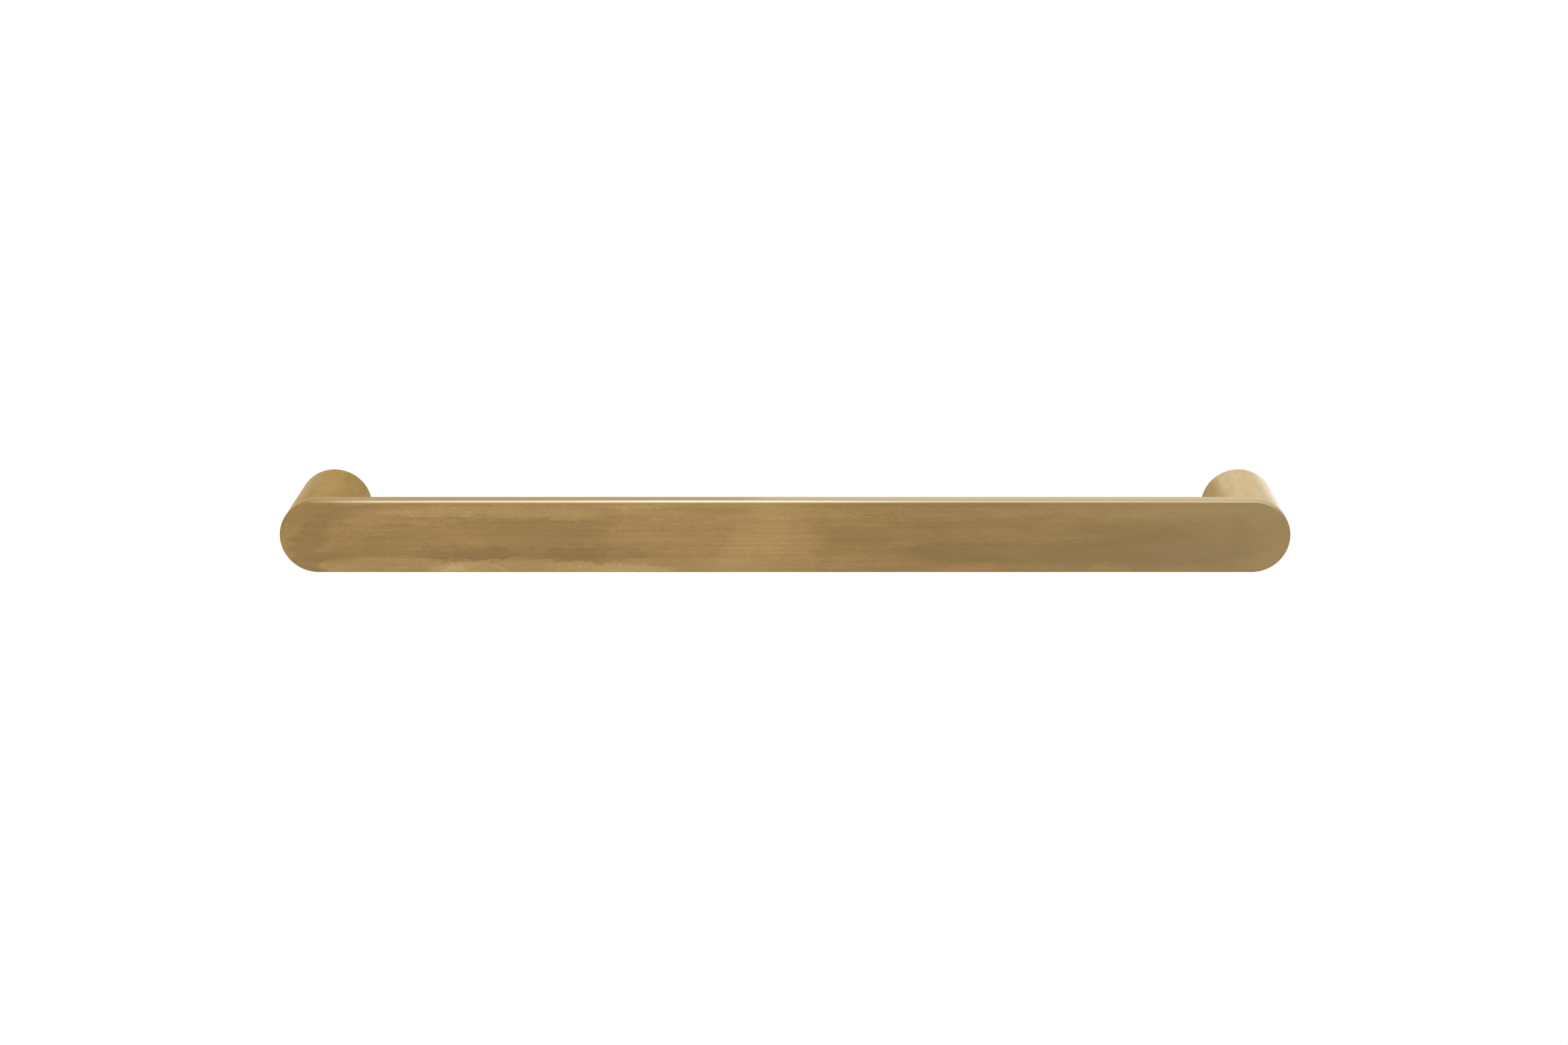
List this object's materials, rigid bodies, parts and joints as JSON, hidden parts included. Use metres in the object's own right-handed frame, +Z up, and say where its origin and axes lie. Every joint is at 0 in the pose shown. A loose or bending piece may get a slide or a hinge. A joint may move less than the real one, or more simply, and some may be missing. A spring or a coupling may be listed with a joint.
{
  "type": "heated towel rail",
  "caption": "Flat heated towel bar with round ends, held off the wall by round posts of the bar's own height at each end.",
  "frame": {"origin": "on the wall, midway between the axes of the two posts", "axes": "+X along the bar, to the right as seen from the room; +Y into the wall; +Z up"},
  "size_m": [0.648, 0.078, 0.048],
  "materials": {
    "brushed_brass": "long grain, brushed along the bar",
    "satin_brass": "satin, lightly clouded",
    "brass_screw": "satin",
    "bare_brass": "as machined",
    "zinc_steel": "zinc plated",
    "black_steel": "blackened, lightly oiled",
    "mill_aluminium": "mill finish",
    "turned_aluminium": "turned",
    "heater_silicone": "matt",
    "pad_silicone": "matt",
    "grommet_silicone": "matt",
    "crimp_sleeve": "shrunk sleeve",
    "cutout_case": "tinned",
    "blue_insulation": "matt",
    "brown_insulation": "matt",
    "block_nylon": "moulded"
  },
  "bodies": {
    "root": {"rail_shell": "brushed_brass", "rail_back_cover": "brushed_brass", "cover_screws": "brass_screw", "heat_strip": "mill_aluminium", "heating_cable": "heater_silicone", "pressure_pads": "pad_silicone", "neutral_splice": "crimp_sleeve", "live_splice": "crimp_sleeve", "thermal_cutout": "cutout_case", "cutout_tail": "brown_insulation", "neutral_lead": "blue_insulation", "live_lead": "brown_insulation", "lead_grommet": "grommet_silicone", "left_post": "satin_brass", "right_post": "satin_brass", "left_post_screws": "black_steel", "right_post_screws": "black_steel", "left_lock_washers": "zinc_steel", "right_lock_washers": "zinc_steel", "terminal_block": "block_nylon", "terminal_clamps": "bare_brass", "clamp_screws": "zinc_steel", "block_screw": "zinc_steel", "earth_washers": "bare_brass", "earth_screw": "bare_brass", "left_wall_bracket": "turned_aluminium", "right_wall_bracket": "turned_aluminium", "supply_grommet": "grommet_silicone", "left_grub_screw": "black_steel", "right_grub_screw": "black_steel"}
  },
  "joints": []
}
